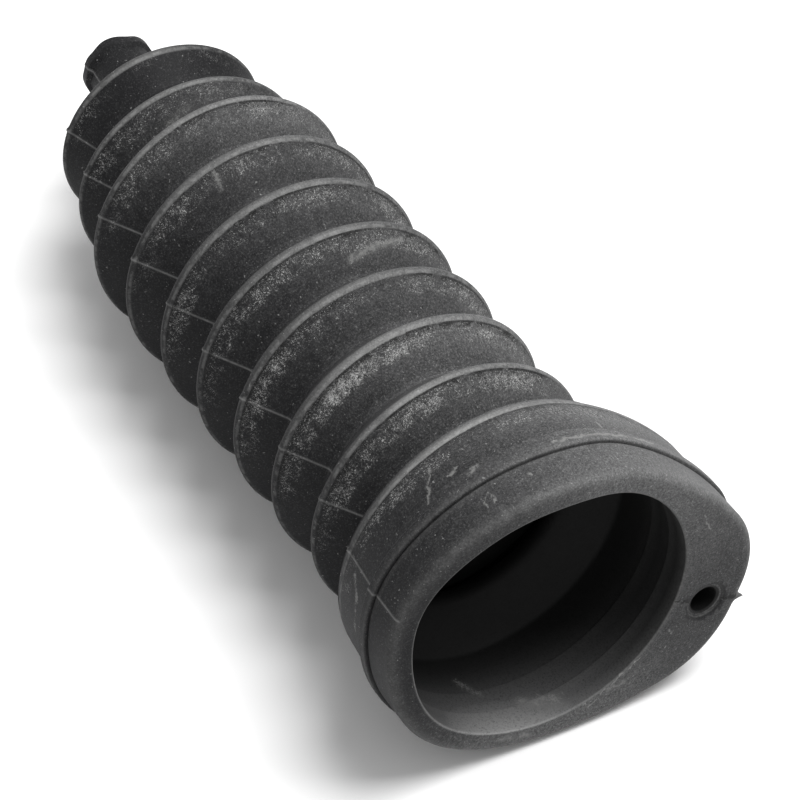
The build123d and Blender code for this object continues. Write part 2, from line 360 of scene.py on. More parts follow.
class Layout:
    """Directions, stations and the bent centre line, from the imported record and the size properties."""

    def __init__(self, mouth, folds):
        self.mouth = mouth
        self.folds = folds
        places = {m["name"]: m for m in frame["record"]["mounts"]}
        self.along = -np.array(places["mouth_bore"]["axis"])
        self.end_along = np.array(places["spout_bore"]["axis"])
        # The mouth's mount stands at the middle of the land behind its rounded edge
        land_middle = (mouth.edge_round + mouth.mouth_land) / 2
        self.start = np.array(places["mouth_bore"]["pos_m"]) - self.along * land_middle
        to_hole = np.array(places["ear_hole"]["pos_m"]) - self.start
        across = to_hole - self.along * to_hole.dot(self.along)
        self.hole_distance = np.linalg.norm(across)
        self.ear = across / self.hole_distance
        self.third = np.cross(self.along, self.ear)
        self.last_crest = folds.first_crest + (folds.crest_count - 1) * folds.crest_pitch
        self.joint_station = (self.last_crest + folds.small_a_station) / 2
        self.joint = self.start + self.along * self.joint_station
        self.bend = acos(self.along.dot(self.end_along))
        self.spout_end = folds.bead_station + folds.bead_length
        self.floor = CAD_BOX[0][2]

    def outline(self, grow, slope, phi):
        """Distance from the axis to the eared outline, grown outwards by grow, in direction phi from the
        ear. Away from the ear it is a circle, nearer to the axis by slope. Then come the soft side and
        the round corner, each where the ray leaves its circle, and the blunt tip, at its distance over
        the cosine of phi. The soft side's circle holds the other two and touches them from outside: its
        centre is as far from theirs as the radii differ, which the law of cosines turns into a place."""
        m = self.mouth
        turn = np.abs((phi + pi) % (2 * pi) - pi)
        r = m.flange_radius + grow - slope
        c = m.ear_corner + grow
        s = m.ear_side + grow
        corner = (m.ear_reach - m.ear_corner, m.ear_corner_offset)
        apart = hypot(*corner)
        lean = acos(((s - r) ** 2 + apart ** 2 - (s - c) ** 2) / (2 * (s - r) * apart))
        side_start = atan2(corner[1], corner[0]) - lean + pi
        pole = (-(s - r) * cos(side_start), -(s - r) * sin(side_start))
        corner_way = atan2(corner[1] - pole[1], corner[0] - pole[0])
        corner_start = atan2(corner[1] + c * sin(corner_way), corner[0] + c * cos(corner_way))
        tip_start = atan2(corner[1], corner[0] + c)

        def leaves(centre, radius):
            across = centre[1] * np.cos(turn) - centre[0] * np.sin(turn)
            reach = np.sqrt(np.maximum(radius ** 2 - across ** 2, 0))
            return centre[0] * np.cos(turn) + centre[1] * np.sin(turn) + reach

        ear = np.where(turn > tip_start, leaves(corner, c), (corner[0] + c) / np.cos(np.minimum(turn, 1.0)))
        ear = np.where(turn > corner_start, leaves(pole, s), ear)
        return np.where(turn > side_start, r, ear)

    def place(self, station, radius, phi):
        """World points of stations and distances from the axis in direction phi. The centre line is
        straight, then turns through the bend on a short arc, and is straight again; the two directions
        across it turn with it, by the turning formula about the bend's own axis."""
        half = self.folds.neck_bend / 2
        bend_way = self.end_along - self.along * self.along.dot(self.end_along)
        bend_way /= np.linalg.norm(bend_way)
        pole = np.cross(self.along, bend_way)
        arc_radius = half / tan(self.bend / 2)
        neck = self.start + self.along * (self.joint_station - half)
        past = (station - (self.joint_station - half)) / (2 * half)
        turn = (np.clip(past, 0, 1) * self.bend)[..., None]

        def turned(v):
            kept = pole * pole.dot(v) * (1 - np.cos(turn))
            return v * np.cos(turn) + np.cross(pole, v) * np.sin(turn) + kept

        straight = self.start + self.along * station[..., None]
        bent = neck + bend_way * arc_radius - turned(bend_way) * arc_radius
        beyond = self.joint + self.end_along * (station - self.joint_station)[..., None]
        centre = np.where(past[..., None] < 0, straight, np.where(past[..., None] > 1, beyond, bent))
        across = turned(self.ear) * np.cos(phi)[..., None] + turned(self.third) * np.sin(phi)[..., None]
        return centre + across * radius[..., None]


def rounded_run(corners, rounds, step, turn=radians(20)):
    """Points along straight runs joined by tangent arcs. Each inner corner gives way to the arc of its
    radius that touches both runs, and whose ends lie radius over tan of half the corner's angle from it.
    Runs are cut into pieces of about step, and arcs into turns of about turn."""
    corners = np.array(corners, dtype=float)
    pieces = [corners[:1]]
    for before, here, after, radius in zip(corners[:-2], corners[1:-1], corners[2:], rounds):
        back = (before - here) / np.linalg.norm(before - here)
        on = (after - here) / np.linalg.norm(after - here)
        half = acos(np.clip(back.dot(on), -1, 1)) / 2
        centre = here + (back + on) / np.linalg.norm(back + on) * radius / sin(half)
        first = here + back * radius / tan(half) - centre
        last = here + on * radius / tan(half) - centre
        sweep = pi - 2 * half
        t = np.linspace(0, 1, max(3, ceil(sweep / turn) + 1))[:, None]
        arc = centre + (np.sin((1 - t) * sweep) * first + np.sin(t * sweep) * last) / sin(sweep)
        pieces.append(straight_run(pieces[-1][-1], arc[0], step))
        pieces.append(arc[1:])
    pieces.append(straight_run(pieces[-1][-1], corners[-1], step))
    return np.concatenate(pieces)


def straight_run(first, last, step):
    """Points after first, up to and with last, about step apart."""
    count = max(1, round(np.linalg.norm(last - first) / step))
    return first + (last - first) * np.linspace(0, 1, count + 1)[1:, None]


def wander(station, phi, seed, waves=7, station_scale=0.02):
    """A smooth field with values of about one: the sum of waves that run round the boot a whole number
    of times and along it with a random rate and phase."""
    rng = np.random.default_rng(seed)
    total = np.zeros(np.broadcast(station, phi).shape)
    for k in range(1, waves + 1):
        rate, phase, weight = rng.normal(0, 1 / station_scale), rng.uniform(0, 2 * pi), rng.uniform(0.5, 1)
        total += weight * np.cos(k * phi + rate * station + phase) / waves ** 0.5
    return total


def columns():
    """Directions round the boot: evenly spaced ones, and a few close to the parting line on each side."""
    even = np.arange(COLUMNS) * 2 * pi / COLUMNS
    offsets = np.radians(PARTING_OFFSETS)
    extra = [side + sign * offsets for side in (0, pi) for sign in (-1, 1)]
    return np.unique(np.round(np.concatenate([even, *extra]) % (2 * pi), 9))


def fold_corners(folds, last_crest):
    """The outer corners of the folds as (station, radius, rounding), from the shoulder's crest to the
    last small crest."""
    tip = folds.crest_round * (2 ** 0.5 - 1)
    root = folds.valley_round * (2 ** 0.5 - 1)
    crest, valley = folds.crest_round, folds.valley_round
    rows = [(folds.shoulder_crest_station, folds.shoulder_crest_radius + tip, crest)]
    for i in range(folds.crest_count):
        station = folds.first_crest + i * folds.crest_pitch
        before = (rows[-1][0] + station) / 2
        rows.append((before, folds.valley_radius - root, valley))
        rows.append((station, folds.crest_radius + tip, crest))
    joint = (last_crest + folds.small_a_station) / 2
    half = folds.neck_land / 2
    rows.append((joint - half, folds.neck_radius, valley))
    rows.append((joint + half, folds.neck_radius, valley))
    rows.append((folds.small_a_station, folds.small_a_radius + tip, crest))
    middle = (folds.small_a_station + folds.small_b_station) / 2
    rows.append((middle, folds.small_valley - root, valley))
    rows.append((folds.small_b_station, folds.small_b_radius + tip, crest))
    return rows


def rings_of_circles(run, phi):
    """Stations and radii of round rings for a run of (station, radius) points."""
    ones = np.ones_like(phi)
    return run[:, :1] * ones, run[:, 1:] * ones


def rings_of_outlines(layout, run, phi):
    """Stations and radii of eared rings for a run of (station, growth, slope) points."""
    radii = np.stack([layout.outline(grow, slope, phi) for grow, slope in run[:, 1:]])
    return run[:, :1] * np.ones_like(phi), radii


def between(first, last, count):
    """Rings that lead from one ring to another, without the two ends."""
    t = np.linspace(0, 1, count + 2)[1:-1, None]
    return tuple(a * (1 - t) + b * t for a, b in zip(first, last))


def flange_rings(layout, phi):
    """Rings from the mouth's front edge over the flange, the lip and the shoulder to the shoulder's
    back edge. On the front face they lead from the mouth's circle to the eared outline."""
    m = layout.mouth
    f = layout.folds
    mouth = (np.zeros_like(phi), np.full_like(phi, m.mouth_radius + m.edge_seen))
    level = rounded_run(
        [
            (0, -2 * m.flange_round),
            (0, 0),
            (m.flange_thickness - m.groove_width, 0),
            (m.flange_thickness - m.groove_width / 3, -m.groove_depth),
            (m.flange_thickness, -m.groove_depth),
            (m.flange_thickness, m.lip_rise),
            (m.flange_thickness + m.lip_width, m.lip_rise),
            (m.flange_thickness + m.lip_width, -m.shoulder_drop),
        ],
        [m.flange_round, m.lip_front_round, m.groove_round, m.groove_round, m.lip_front_round, m.lip_round],
        RIM_STEP,
    )
    rim = rings_of_outlines(layout, np.column_stack([level, 0 * level[:, 0]]), phi)
    face = between(mouth, (rim[0][0], rim[1][0]), FACE_RINGS)
    lip_end = m.flange_thickness + m.lip_width
    shoulder_end = f.shoulder_crest_station + m.shoulder_past
    turned = rounded_run(
        [
            (lip_end, -m.shoulder_drop),
            (shoulder_end, -m.shoulder_drop),
            (shoulder_end, -m.shoulder_drop - 2 * m.shoulder_round),
        ],
        [m.shoulder_round],
        SHOULDER_STEP,
    )[1:-2]
    sloped = m.shoulder_slope * (turned[:, 0] - lip_end) / m.shoulder_length
    station, radius = rings_of_outlines(layout, np.column_stack([turned, sloped]), phi)
    foot = (np.full_like(phi, shoulder_end), np.full_like(phi, shoulder_foot(layout)))
    back = between((station[-1], np.maximum(radius[-1], foot[1] + 0.02 * MM)), foot, BACK_RINGS)
    blocks = [(mouth[0][None], mouth[1][None]), face, rim, (station, np.maximum(radius, foot[1])), back]
    return tuple(np.concatenate(part) for part in zip(*blocks))


def shoulder_foot(layout):
    """Radius at which the shoulder's back edge meets the flank that falls to the first valley."""
    m = layout.mouth
    f = layout.folds
    crest, valley = fold_corners(f, layout.last_crest)[:2]
    return crest[1] + (valley[1] - crest[1]) * m.shoulder_past / (valley[0] - crest[0])


def fold_run(layout):
    """The outer line of the folds, the small end and the spout, and where its crests lie along it."""
    f = layout.folds
    m = layout.mouth
    rows = fold_corners(f, layout.last_crest)
    corners = [
        (f.shoulder_crest_station + m.shoulder_past, shoulder_foot(layout)),
        *[(s, r) for s, r, _ in rows[1:]],
        (f.cone_end, f.cone_radius),
        (f.spout_start, f.spout_radius),
        (f.bead_station, f.spout_radius),
        (f.bead_station + f.bead_radius - f.spout_radius, f.bead_radius),
        (layout.spout_end, f.bead_radius),
        (layout.spout_end, f.spout_bore),
    ]
    rounds = [r for _, _, r in rows[1:]]
    rounds += [f.cone_round, f.root_round, f.foot_round, f.foot_round, f.bead_round]
    run = rounded_run(corners, rounds, FOLD_STEP)
    crests = np.array([(s, r) for s, r, rounding in rows if rounding == f.crest_round])
    return run, crests


def inner_run(layout):
    """The inner line, from the spout's end back to the mouth's front edge."""
    f = layout.folds
    m = layout.mouth
    rows = fold_corners(f, layout.last_crest)[1:]
    neck = (layout.joint_station - f.neck_land / 2, layout.joint_station + f.neck_land / 2)
    rounds = [
        f.inner_crest_round if r == f.crest_round else f.valley_round if s in neck else f.inner_valley_round
        for s, _, r in rows
    ]
    corners = [
        (0, m.mouth_radius + 2 * m.edge_seen),
        (0, m.mouth_radius),
        (m.mouth_land, m.mouth_radius),
        (m.mouth_land, m.seat_radius),
        (m.seat_end, m.seat_radius),
        (m.seat_end, m.chamber_radius),
        (m.chamber_end, m.chamber_radius),
        *[(s, r - f.wall) for s, r, _ in rows],
        (f.cone_end - f.cap_wall, f.cap_inner),
        (f.spout_start - f.cap_wall, f.spout_bore),
        (layout.spout_end, f.spout_bore),
    ]
    rounds = [m.edge_seen, *[m.land_round] * 4, f.chamber_round, *rounds, f.cap_round, f.root_round]
    run = rounded_run(corners, rounds, INNER_STEP, radians(34))
    return run[::-1][1:-2]


def closed_grid(points):
    """Quads between the rows of a grid of points, closed both ways."""
    rows, cols = points.shape[:2]
    index = np.arange(rows * cols).reshape(rows, cols)
    down = np.roll(index, -1, axis=0)
    return np.stack(
        [index, np.roll(index, -1, axis=1), np.roll(down, -1, axis=1), down], axis=-1
    ).reshape(-1, 4)


def add_object(name, data):
    """A new object in the scene."""
    piece = bpy.data.objects.new(name, data)
    bpy.context.scene.collection.objects.link(piece)
    return piece


def add_mesh(name, points, faces):
    """A new object in the scene, with a mesh of its own."""
    mesh = bpy.data.meshes.new(name)
    mesh.from_pydata(np.reshape(points, (-1, 3)), [], faces)
    return add_object(name, mesh)


def bump(value, centre, width):
    """A smooth hill of height one: e to the minus square of the distance over width."""
    return np.exp(-(((value - centre) / width) ** 2))


def from_side(phi, degrees):
    """Angle from a direction in degrees to phi, the short way round."""
    return (phi - radians(degrees) + pi) % (2 * pi) - pi


def facing(phi, side, width):
    """One in a direction and less away from it: a smooth hill of that width, both in degrees."""
    return bump(from_side(phi, side), 0, radians(width))


def soft_set(layout, station, phi):
    """How far the soft mouth has set along the axis: back on the side away from the ear, forward at the
    top. It fades out towards the shoulder's end."""
    f = layout.folds
    fade = np.clip(1 - station / f.shoulder_crest_station, 0, 1)
    fade = fade * fade * (3 - 2 * fade)
    return fade * sum(shift * MM * facing(phi, side, width) for side, shift, width in MOUTH_SETS)


def parting_ridge(layout, station, radius, phi, ridge):
    """Height of the mould's parting line, on the ear's side and opposite: a fine ridge, and at each crest
    a small uneven tag of flash."""
    m = layout.mouth
    f = layout.folds
    rng = np.random.default_rng(PARTING_SEED)
    height = np.zeros(station.shape)
    for side in (0, 180):
        away = np.abs(from_side(phi, side)) * radius
        uneven = 0.8 + 0.3 * wander(station, 0 * phi, PARTING_SEED + side)
        height += m.parting_height * bump(away, 0, m.parting_width) * uneven
        tags = rng.uniform(f.tag_low, f.tag_high, ridge.shape[0])[:, None]
        height += tags * bump(away, 0, f.tag_width) * bump(ridge, 0, 0.7)
    return height


def nib(layout, station, radius, phi):
    """Height of the torn flash on the ear's tip: a wedge across the parting line at the front edge."""
    m = layout.mouth
    away = np.abs(from_side(phi, 0)) * radius
    across = np.clip(1 - away / (m.nib_width / 2), 0, 1)
    return m.nib_length * across * bump(station, 0.75 * m.nib_thickness, 0.55 * m.nib_thickness)


def crest_distance(run, crests):
    """For each point of the fold's line, the signed distance along it to the nearest crest, negative on
    the mouth's side, and that crest's number."""
    steps = np.linalg.norm(np.diff(run, axis=0), axis=1)
    along = np.concatenate([[0], np.cumsum(steps)])
    gaps = np.hypot(run[:, :1] - crests[:, 0], run[:, 1:] - crests[:, 1])
    crest_along = along[gaps.argmin(axis=0)]
    signed = along[:, None] - crest_along
    nearest = np.abs(signed).argmin(axis=1)
    return signed[np.arange(len(run)), nearest], nearest


class Skin:
    """The skin's grid, with a row for each ring and a column for each direction round the boot. Its rings
    lead over the flange, along the folds and the spout, and back inside. Its methods give the points and
    what the rubber carries at each of them, as whole arrays."""

    def __init__(self, layout):
        self.layout = layout
        phi = columns()
        flange = flange_rings(layout, phi)
        self.run, self.crests = fold_run(layout)
        outer = rings_of_circles(self.run, phi)
        inner = rings_of_circles(inner_run(layout), phi)
        self.station = np.concatenate([flange[0], outer[0], inner[0]])
        self.radius = np.concatenate([flange[1], outer[1], inner[1]])
        self.turn = np.broadcast_to(phi, self.station.shape)
        self.folds = slice(len(flange[0]), len(flange[0]) + len(outer[0]))
        self.inside = np.zeros(self.station.shape)
        self.inside[self.folds.stop:] = 1.0
        self.outside = 1 - self.inside
        self.rim = self.radius - layout.outline(0, 0, self.turn)
        distance, self.crest_number = crest_distance(self.run, self.crests)
        self.front = self.front_distance(distance)
        self.ridge = np.abs(self.front)

    def front_distance(self, distance):
        """Millimetres from the nearest crest towards the mouth. On the shoulder they are counted along
        the axis, from its rounded back edge."""
        m = self.layout.mouth
        f = self.layout.folds
        front = np.full(self.station.shape, FAR)
        front[self.folds] = -distance[:, None] / MM
        shoulder = (self.inside == 0) & (self.station > m.flange_thickness + m.lip_width + 2 * MM)
        shoulder[self.folds] = False
        edge = f.shoulder_crest_station - 0.5 * m.shoulder_round
        front[shoulder] = (edge - self.station[shoulder]) / MM
        return front

    def bloom(self):
        """How much chalky bloom there is: each crest's own load times a patchy field, on its side."""
        folds = self.folds
        load = np.array(CREST_BLOOM)[self.crest_number][:, None]
        waves = wander(self.station[folds], self.turn[folds], BLOOM_SEED, waves=9, station_scale=0.006)
        bloom = np.full(self.station.shape, CREST_BLOOM[0] * 0.6)
        bloom[folds] = load * np.clip(0.62 + 0.3 * waves, 0.1, 1.2)
        return bloom * np.clip((0.35 + np.cos(from_side(self.turn, BLOOM_SIDE))) / 0.7, 0.12, 1)

    def dust(self):
        """How greyed the rubber is, partly by dust and partly by painted light on the lit side: half of one
        and the cosine from that side, raised to a power, times each crest's own share. The face's low side
        has its own dust, and inside, the land's low side gets a painted pool of light."""
        f = self.layout.folds
        side, width, strength = FACE_DUST
        dust = (0.5 + 0.5 * np.cos(from_side(self.turn, DUST_AND_LIGHT_SIDE))) ** DUST_AND_LIGHT_FALL
        dust[:self.folds.start] **= FLANGE_DUST_AND_LIGHT_FALL
        before = self.crests[:, 0] - 0.25 * f.crest_pitch
        dust[self.folds] *= np.interp(self.run[:, 0], before, CREST_DUST_AND_LIGHT)[:, None]
        dust += strength * facing(self.turn, side, width) * bump(self.station, 0, 0.6 * MM)
        side, width, strength = LAND_PAINTED_LIGHT
        # Inside: a faint greying near the mouth, and a painted pool of light on the land's low side
        near_mouth = bump(self.station, 0, 11 * MM) * (0.1 + strength * facing(self.turn, side, width))
        return np.where(self.inside > 0, near_mouth, dust)

    def polish_and_highlight_side(self):
        """How pale a crest's band is, partly from polishing and partly as a painted highlight: most at the
        top left, and uneven along the folds.
        """
        side, width, strength = POLISH_AND_HIGHLIGHT_SIDE
        polish_and_highlight_side = 1 - strength + strength * facing(self.turn, side, width)
        waves = wander(self.station[self.folds], self.turn[self.folds], POLISH_SEED)
        polish_and_highlight_side[self.folds] *= np.clip(0.7 + 0.25 * waves, 0, 1.2)
        return polish_and_highlight_side

    def edge_wear_and_highlight(self):
        """How pale the edges are, partly from wear and partly as a painted highlight: a smooth hill round
        each, in the plane of station and radius. In turn they are the flange's, the mouth's, the two steps
        inside it, and the crease's two sides."""
        m = self.layout.mouth

        def hill(height, behind, out, width):
            return height * bump(np.hypot(behind, out), 0, width * MM)

        groove_start = m.flange_thickness - m.groove_width
        return (
            hill(1.0, self.station - 0.3 * MM, self.rim + 0.3 * MM, 1.1)
            + hill(2.2, self.station - 0.1 * MM, self.radius - m.mouth_radius - 0.1 * MM, 0.22)
            + hill(0.6, self.station - m.mouth_land, self.radius - m.mouth_radius, 0.3)
            + hill(0.5, self.station - m.seat_end, self.radius - m.seat_radius, 0.3)
            + hill(0.7, self.station - m.flange_thickness - 0.4 * MM, self.rim - m.lip_rise, 0.6)
            + hill(0.8, self.station - groove_start + 0.35 * MM, self.rim, 0.35)
        )

    def crease(self):
        """Painted shade: one in the crease in front of the lip."""
        m = self.layout.mouth
        away = np.hypot(self.station - m.flange_thickness, self.rim + m.groove_depth)
        return bump(away, 0, 0.24 * MM) * self.outside

    def parting(self):
        """One along the parting line, behind the front face."""
        lines = sum(bump(from_side(self.turn, side) * self.radius, 0, 0.17 * MM) for side in (0, 180))
        return lines * self.outside * (self.station > 0.5 * MM)

    def points(self):
        """The points of the grid, with the parting line, the flash, the soft mouth's set, the slight
        unevenness of the folds and the spout's torn end. None lies below the floor."""
        layout = self.layout
        m = layout.mouth
        f = layout.folds
        station, radius, turn = self.station, self.radius, self.turn
        spout = self.folds.start + np.flatnonzero(self.run[:, 0] > f.bead_station)
        torn = np.zeros(station.shape)
        torn[spout] = f.torn * wander(turn[spout] * 0 + f.bead_station, turn[spout], SPOUT_SEED, waves=11)
        lift = parting_ridge(layout, station, radius, turn, self.ridge) + nib(layout, station, radius, turn)
        waves = wander(station, turn, SKIN_SEED, waves=5, station_scale=0.015)
        uneven = f.uneven * waves * (station > 24 * MM)
        on_face = self.outside * (station < 0.1 * MM)
        ahead = m.face_parting * on_face * bump(from_side(turn, 0) * radius, 0, m.parting_width)
        points = layout.place(
            station + soft_set(layout, station, turn) - ahead + torn,
            radius + (lift + uneven) * self.outside,
            turn,
        )
        points[..., 2] = np.maximum(points[..., 2], layout.floor)
        return points


def build_skin(layout):
    """The whole skin as one closed, smooth mesh, with the fields that its finish reads."""
    skin = Skin(layout)
    points = skin.points()
    fields = {
        "ridge": skin.ridge,
        "front": skin.front,
        "bloom": skin.bloom(),
        # Partly dust and partly painted light on the lit side; inside, the land's painted pool of light
        "dusty": skin.dust(),
        "inside": skin.inside,
        # Pale edges, partly wear and partly painted highlight
        "edge": skin.edge_wear_and_highlight(),
        "parting": skin.parting(),
        "polish_and_highlight_strength": skin.polish_and_highlight_side(),
        # Painted shade in the crease
        "crease": skin.crease(),
    }
    piece = add_mesh("boot_skin", points, closed_grid(points).tolist())
    mesh = piece.data
    for field, values in fields.items():
        mesh.attributes.new(field, "FLOAT", "POINT").data.foreach_set("value", values.astype("f4").ravel())
    mesh.polygons.foreach_set("use_smooth", np.ones(len(mesh.polygons), dtype=bool))
    return piece


def hole_cutter(layout):
    """A turned tool for the ear's hole: a wide mouth with a soft edge, a shallow recess and the hole."""
    m = layout.mouth
    ear_end = m.flange_thickness + m.lip_width + m.shoulder_length
    edge = np.array(RECESS_EDGE) * MM + (0, m.hole_rim_radius)
    bottom = [
        (m.hole_rim_depth, m.hole_rim_radius - 0.1 * MM),
        (m.hole_rim_depth + 0.02 * MM, m.hole_radius + 0.2 * MM),
        (m.hole_rim_depth + 0.2 * MM, m.hole_radius),
        (ear_end + 2.0 * MM, m.hole_radius),
    ]
    profile = np.concatenate([edge, bottom])
    phi = np.linspace(0, 2 * pi, HOLE_COLUMNS, endpoint=False)
    centre = layout.start + layout.ear * layout.hole_distance
    ring = layout.ear * np.cos(phi)[:, None] + layout.third * np.sin(phi)[:, None]
    points = centre + layout.along * profile[:, 0, None, None] + ring * profile[:, 1, None, None]
    sides = closed_grid(points)[:-HOLE_COLUMNS]
    index = np.arange(len(profile) * HOLE_COLUMNS).reshape(-1, HOLE_COLUMNS)
    ends = [index[0][::-1].tolist(), index[-1].tolist()]
    return add_mesh("hole_tool", points, sides.tolist() + ends)


def cut(piece, tool):
    """Cuts the tool's shape out of the piece for good, and takes the tool away."""
    modifier = piece.modifiers.new("cut", "BOOLEAN")
    modifier.operation = "DIFFERENCE"
    modifier.solver = "EXACT"
    modifier.object = tool
    graph = bpy.context.evaluated_depsgraph_get()
    mesh = bpy.data.meshes.new_from_object(piece.evaluated_get(graph))
    piece.modifiers.clear()
    old = piece.data
    piece.data = mesh
    bpy.data.meshes.remove(old)
    bpy.data.meshes.remove(tool.data)
    mesh.name = piece.name
    mesh.set_sharp_from_angle(angle=radians(42))


def joined_by(operation):
    """A method that joins a value to another number with a Math node."""
    return lambda value, other: value.math(operation, value, other)


class Value:
    """A number on its way through a node tree: Python's operators add its Math nodes."""

    def __init__(self, nodes, socket):
        self.nodes = nodes
        self.socket = socket

    def math(self, operation, first, second):
        node = self.nodes.node("ShaderNodeMath", {"operation": operation}, {0: first, 1: second})
        return self.nodes.value(node.outputs[0])

    __add__ = __radd__ = joined_by("ADD")
    __mul__ = __rmul__ = joined_by("MULTIPLY")
    __sub__ = joined_by("SUBTRACT")
    __truediv__ = joined_by("DIVIDE")
    least = joined_by("MINIMUM")
    most = joined_by("MAXIMUM")

    def __rsub__(self, other):
        return self.math("SUBTRACT", other, self)

    def ramp(self, low, high):
        """Nought below low, one above high, and smooth between; low may be the larger one."""
        settings = {"interpolation_type": "SMOOTHSTEP", "clamp": True}
        first, last = (low, high) if low < high else (high, low)
        node = self.nodes.node("ShaderNodeMapRange", settings, {0: self, 1: first, 2: last})
        risen = self.nodes.value(node.outputs[0])
        return risen if low < high else 1 - risen

    def band(self, low, full, fading, high):
        """One from full to fading, and smoothly down to nought at low and at high."""
        return self.ramp(low, full) * self.ramp(high, fading)


class Nodes:
    """A node tree whose nodes are added in Python."""

    def __init__(self, tree):
        self.tree = tree

    def value(self, output):
        return Value(self, output)

    def node(self, kind, settings=None, inputs=None):
        """Adds a node with its settings and inputs."""
        node = self.tree.nodes.new(kind)
        for name, value in (settings or {}).items():
            setattr(node, name, value)
        self.feed(node, inputs or {})
        return node

    def feed(self, node, inputs):
        """Gives a node's sockets, by name or number, their numbers or links."""
        for key, value in inputs.items():
            if isinstance(value, Value):
                self.tree.links.new(value.socket, node.inputs[key])
            else:
                node.inputs[key].default_value = value

    def mix(self, factor, first, second, kind="RGBA"):
        """A colour between two colours, or with FLOAT a number between two numbers."""
        inputs = {"Factor": factor, "A": first, "B": second}
        node = self.node("ShaderNodeMix", {"data_type": kind, "clamp_factor": True}, inputs)
        return self.value(node.outputs["Result"])

    def seen_directly(self):
        """One for rays from the camera, from reflections and through glass, and nought for the rest."""
        ray = self.node("ShaderNodeLightPath").outputs
        seen = self.value(ray["Is Camera Ray"])
        for kind in ("Is Glossy Ray", "Is Transmission Ray"):
            seen = seen.most(self.value(ray[kind]))
        return seen


class Finish(Nodes):
    """A material: its noises and distances are in metres on the piece."""

    def __init__(self, name):
        self.material = bpy.data.materials.new(name)
        self.material.use_nodes = True
        super().__init__(self.material.node_tree)
        self.place = self.value(self.node("ShaderNodeTexCoord").outputs["Object"])

    def field(self, name):
        """One of the mesh's own float fields."""
        return self.value(self.node("ShaderNodeAttribute", {"attribute_name": name}).outputs["Fac"])

    def noise(self, size, detail=2.0, roughness=0.6, shift=0.0, twist=0.0):
        """Noise whose features are about size wide, curled by twist."""
        away = self.vector("ADD", self.place, (shift, shift, shift))
        inputs = {"Vector": away, "Scale": 1 / size, "Detail": detail}
        inputs |= {"Roughness": roughness, "Distortion": twist}
        return self.value(self.node("ShaderNodeTexNoise", {}, inputs).outputs["Fac"])

    def vector(self, operation, first, second=None, scale=None):
        """A Vector Math node: its vector, or its number where the operation gives one."""
        inputs = {0: first}
        if second is not None:
            inputs[1] = second
        if scale is not None:
            inputs["Scale"] = scale
        node = self.node("ShaderNodeVectorMath", {"operation": operation}, inputs)
        numbers = ("DOT_PRODUCT", "DISTANCE", "LENGTH")
        return self.value(node.outputs["Value" if operation in numbers else "Vector"])

    def over(self, under, factor, shade):
        """A plain shade laid over a colour, as strongly as factor says."""
        return self.mix(factor, under, (*shade, 1.0))


def stroke_distance(finish, layout, strokes, place):
    """The least of all strokes' distances, each in its own widths and raised by its faintness. A place's
    distance to a stretch from A to B is that to A + h (B - A), where h is the dot product of P - A with
    B - A over its length squared, kept between nought and one."""
    nearest = 10.0
    for points, width, faint in strokes.values():
        rows = np.array(points, dtype=float)
        places = layout.place(rows[:, 0] * MM, rows[:, 2] * MM, np.radians(rows[:, 1]))
        for first, last in zip(places[:-1], places[1:]):
            way = last - first
            offset = finish.vector("SUBTRACT", place, tuple(first))
            along = finish.vector("DOT_PRODUCT", offset, tuple(way / way.dot(way))).least(1.0).most(0.0)
            foot = finish.vector("SCALE", tuple(way), scale=along)
            away = finish.vector("DISTANCE", offset, foot) * (1 / (width * MM)) + faint
            nearest = away.least(nearest)
    return nearest


